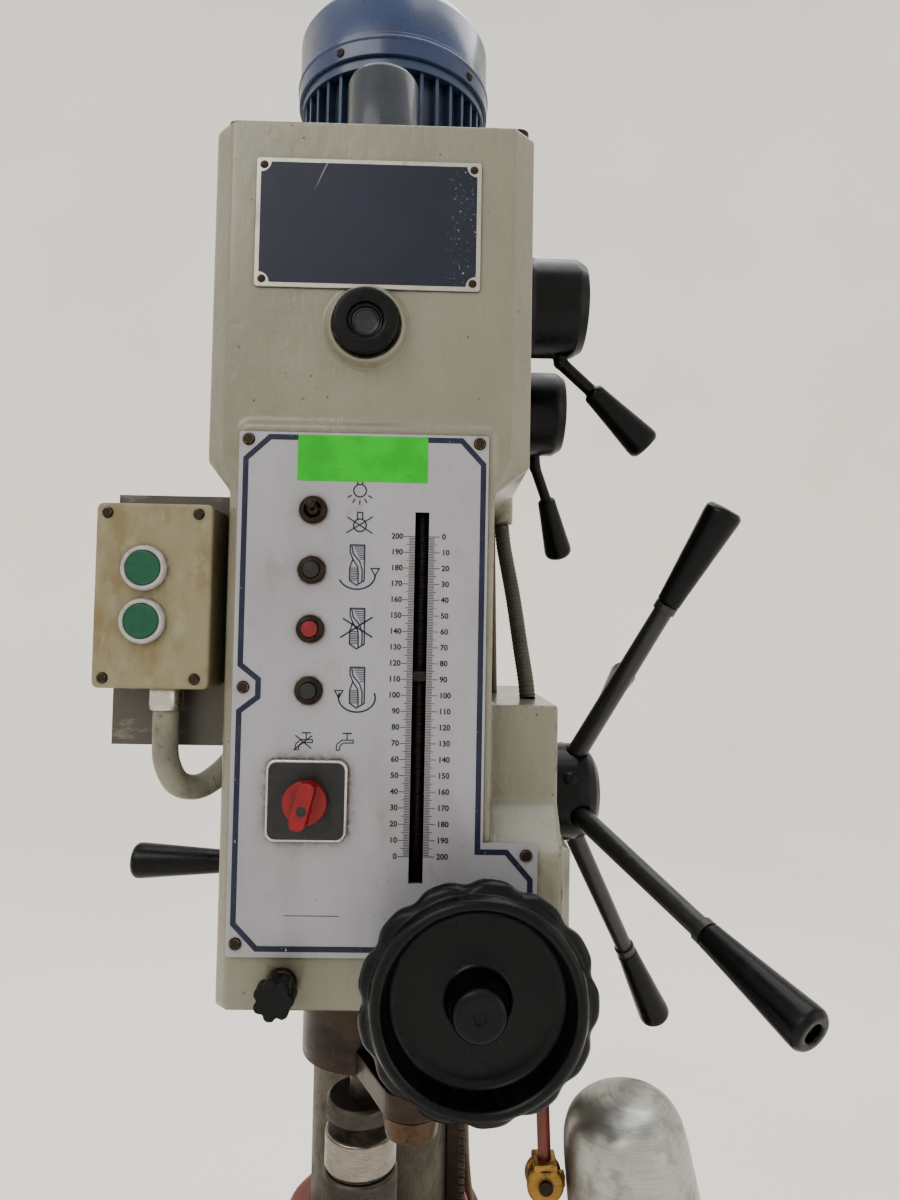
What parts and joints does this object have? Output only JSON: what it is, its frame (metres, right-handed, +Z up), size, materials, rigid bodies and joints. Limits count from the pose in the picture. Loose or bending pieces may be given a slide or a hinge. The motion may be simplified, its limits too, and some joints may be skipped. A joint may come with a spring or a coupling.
{
  "type": "benchtop geared-head drilling machine",
  "caption": "Bench-standing geared-head drilling machine: round column, rack-raised swinging table, rack-fed quill with arm capstan and fine feed, keyless chuck and flange motor.",
  "frame": {"origin": "column axis at the underside of the base", "axes": "+Z up the column, -Y towards the operator (the spindle side), +X towards the feed capstan"},
  "size_m": [0.5033, 0.595, 1.583],
  "materials": {
    "cream_paint": "thick brushed machine enamel, aged",
    "ground_steel": "ground, lightly tarnished",
    "dark_steel": "blackened and rust-spotted steel",
    "panel_aluminium": "satin anodised sheet with a printed border",
    "navy_plate": "satin printed plate",
    "gloss_black": "moulded phenolic, worn at the edges",
    "black_enamel": "black enamel",
    "motor_blue": "semi-gloss enamel",
    "station_plastic": "yellowed moulded plastic",
    "cable_rubber": "dull rubber and corrugated sleeve",
    "bracket_red": "red enamel on cast iron",
    "table_iron": "planed cast iron",
    "bronze": "machined bronze",
    "red_plastic": "moulded plastic",
    "green_plastic": "moulded plastic",
    "lamp_brass": "aged brass with a painted stem",
    "lamp_aluminium": "spun and brushed"
  },
  "bodies": {
    "root": {"base_plate": "cream_paint", "column_flange": "cream_paint", "column": "ground_steel", "rack_collars": "dark_steel", "head_casting": "cream_paint", "gearbox_cover": "cream_paint", "fasteners": "dark_steel", "front_panel": "panel_aluminium", "name_plate": "navy_plate", "sight_glass": "gloss_black", "motor_housing": "motor_blue", "motor_cowl": "motor_blue", "terminal_boxes": "black_enamel", "spindle_cover": "dark_steel", "station_plate": "ground_steel", "station_box": "station_plastic", "control_bezels": "dark_steel", "conduits": "cable_rubber", "base_cables": "cable_rubber", "shaft_bearings": "ground_steel", "spring_cover": "gloss_black", "return_spring": "dark_steel", "lamp_arm": "lamp_brass"},
    "rack": {"column_rack": "dark_steel"},
    "table": {"table_bracket": "bracket_red", "table_plate": "table_iron"},
    "table_clamp": {"table_clamp_lever": "gloss_black"},
    "lift_gear": {"elevating_gear": "ground_steel"},
    "crank": {"elevating_worm": "ground_steel", "crank_arm": "dark_steel"},
    "crank_grip": {"crank_grip": "gloss_black"},
    "quill": {"quill": "dark_steel", "depth_arm": "dark_steel", "depth_rod": "dark_steel", "quill_bearings": "ground_steel"},
    "spindle": {"spindle": "ground_steel", "chuck_body": "dark_steel"},
    "chuck_sleeve": {"chuck_sleeve": "dark_steel"},
    "capstan": {"pinion_shaft": "ground_steel", "capstan_hub": "gloss_black", "capstan_arms": "black_enamel", "capstan_grips": "gloss_black"},
    "fine_feed": {"worm_shaft": "ground_steel", "handwheel": "gloss_black"},
    "worm_wheel": {"worm_wheel": "bronze"},
    "upper_gear_lever": {"upper_gear_lever": "gloss_black"},
    "lower_gear_lever": {"lower_gear_lever": "gloss_black"},
    "quill_clamp": {"quill_clamp_lever": "gloss_black"},
    "rotary_knob": {"rotary_knob": "red_plastic"},
    "lamp_toggle": {"lamp_toggle": "ground_steel"},
    "forward_button": {"forward_button": "gloss_black"},
    "stop_button": {"stop_button": "red_plastic"},
    "reverse_button": {"reverse_button": "gloss_black"},
    "station_upper_button": {"station_upper_button": "green_plastic"},
    "station_lower_button": {"station_lower_button": "green_plastic"},
    "lock_knob": {"lock_knob": "gloss_black"},
    "motor_rotor": {"motor_rotor": "ground_steel"},
    "counter_gears": {"counter_gears": "ground_steel"},
    "drive_gear": {"drive_gear": "ground_steel"},
    "lamp_shade": {"lamp_shade": "lamp_aluminium"}
  },
  "joints": [
    {"name": "table_swing", "type": "hinge", "parent": "root", "child": "rack", "pos_m": [0, 0, 0.4], "axis": [0, 0, 1], "range_deg": [-60, 0]},
    {"name": "table_lift", "type": "slide", "parent": "rack", "child": "table", "axis": [0, 0, -1], "range_m": [-0.135, 0.075]},
    {"name": "table_crank_turn", "type": "hinge", "parent": "table", "child": "crank", "pos_m": [0.16, 0.022, 0.309], "axis": [1, 0, 0], "range_deg": [-8850, 4920]},
    {"name": "lift_gear_spin", "type": "hinge", "parent": "table", "child": "lift_gear", "pos_m": [0.104, 0.022, 0.339], "axis": [0, 1, 0], "range_deg": [-443, 246.5]},
    {"name": "crank_grip_spin", "type": "hinge", "parent": "crank", "child": "crank_grip", "pos_m": [0.2, 0.022, 0.217], "axis": [1, 0, 0], "continuous": true},
    {"name": "table_clamp_turn", "type": "hinge", "parent": "table", "child": "table_clamp", "pos_m": [-0.114, -0.036, 0.339], "axis": [0, 1, 0], "range_deg": [-30, 40]},
    {"name": "quill_feed", "type": "slide", "parent": "root", "child": "quill", "axis": [0, 0, -1], "range_m": [-0.049, 0.112]},
    {"name": "capstan_turn", "type": "hinge", "parent": "root", "child": "capstan", "pos_m": [0.1485, -0.193, 0.8705], "axis": [1, 0, 0], "range_deg": [-126, 287]},
    {"name": "handwheel_turn", "type": "hinge", "parent": "root", "child": "fine_feed", "pos_m": [0.074, -0.4, 0.797], "axis": [0, 1, 0], "continuous": true},
    {"name": "worm_wheel_spin", "type": "hinge", "parent": "root", "child": "worm_wheel", "pos_m": [0.074, -0.193, 0.8705], "axis": [1, 0, 0], "continuous": true},
    {"name": "motor_spin", "type": "hinge", "parent": "root", "child": "motor_rotor", "pos_m": [0, -0.1285, 1.4], "axis": [0, 0, 1], "continuous": true},
    {"name": "counter_spin", "type": "hinge", "parent": "root", "child": "counter_gears", "pos_m": [0.0387, -0.19275, 1.2], "axis": [0, 0, 1], "continuous": true},
    {"name": "drive_spin", "type": "hinge", "parent": "root", "child": "drive_gear", "pos_m": [0, -0.257, 1.2], "axis": [0, 0, 1], "continuous": true},
    {"name": "spindle_spin", "type": "hinge", "parent": "quill", "child": "spindle", "pos_m": [0, -0.257, 0.8], "axis": [0, 0, 1], "continuous": true},
    {"name": "chuck_sleeve_turn", "type": "hinge", "parent": "spindle", "child": "chuck_sleeve", "pos_m": [0, -0.257, 0.58], "axis": [0, 0, 1], "range_deg": [0, 720]},
    {"name": "upper_lever_turn", "type": "hinge", "parent": "root", "child": "upper_gear_lever", "pos_m": [0.13, -0.25, 1.252], "axis": [1, 0, 0], "range_deg": [-40, 40]},
    {"name": "lower_lever_turn", "type": "hinge", "parent": "root", "child": "lower_gear_lever", "pos_m": [0.13, -0.15, 1.197], "axis": [1, 0, 0], "range_deg": [-40, 40]},
    {"name": "quill_clamp_turn", "type": "hinge", "parent": "root", "child": "quill_clamp", "pos_m": [-0.102, -0.2, 0.811], "axis": [0, 1, 0], "range_deg": [-25, 30]},
    {"name": "rotary_switch_turn", "type": "hinge", "parent": "root", "child": "rotary_knob", "pos_m": [-0.0303, -0.36, 0.8943], "axis": [0, 1, 0], "range_deg": [0, 60]},
    {"name": "lamp_toggle_turn", "type": "hinge", "parent": "root", "child": "lamp_toggle", "pos_m": [-0.0309, -0.358, 1.0756], "axis": [1, 0, 0], "range_deg": [0, 24]},
    {"name": "forward_press", "type": "slide", "parent": "root", "child": "forward_button", "axis": [0, 1, 0], "range_m": [0, 0.004], "stiffness_N_per_m": 500, "springref_m": -0.002},
    {"name": "stop_press", "type": "slide", "parent": "root", "child": "stop_button", "axis": [0, 1, 0], "range_m": [0, 0.004], "stiffness_N_per_m": 500, "springref_m": -0.002},
    {"name": "reverse_press", "type": "slide", "parent": "root", "child": "reverse_button", "axis": [0, 1, 0], "range_m": [0, 0.004], "stiffness_N_per_m": 500, "springref_m": -0.002},
    {"name": "station_upper_press", "type": "slide", "parent": "root", "child": "station_upper_button", "axis": [0, 1, 0], "range_m": [0, 0.004], "stiffness_N_per_m": 500, "springref_m": -0.002},
    {"name": "station_lower_press", "type": "slide", "parent": "root", "child": "station_lower_button", "axis": [0, 1, 0], "range_m": [0, 0.004], "stiffness_N_per_m": 500, "springref_m": -0.002},
    {"name": "lock_knob_turn", "type": "hinge", "parent": "root", "child": "lock_knob", "pos_m": [-0.0438, -0.37, 0.7815], "axis": [0, 1, 0], "range_deg": [0, 360]},
    {"name": "lamp_tilt", "type": "hinge", "parent": "root", "child": "lamp_shade", "pos_m": [0.129, -0.3, 0.628], "axis": [0, 1, 0], "range_deg": [0, 30]}
  ],
  "couplings": [
    {"joint": "lift_gear_spin", "follows": "table_lift", "rad_per_m": 57.143},
    {"joint": "table_crank_turn", "follows": "table_lift", "rad_per_m": 1142.9},
    {"joint": "capstan_turn", "follows": "quill_feed", "rad_per_m": 44.444},
    {"joint": "worm_wheel_spin", "follows": "handwheel_turn", "ratio": -0.021739},
    {"joint": "counter_spin", "follows": "motor_spin", "ratio": -0.5},
    {"joint": "drive_spin", "follows": "motor_spin", "ratio": 0.25},
    {"joint": "spindle_spin", "follows": "motor_spin", "ratio": 0.25}
  ]
}
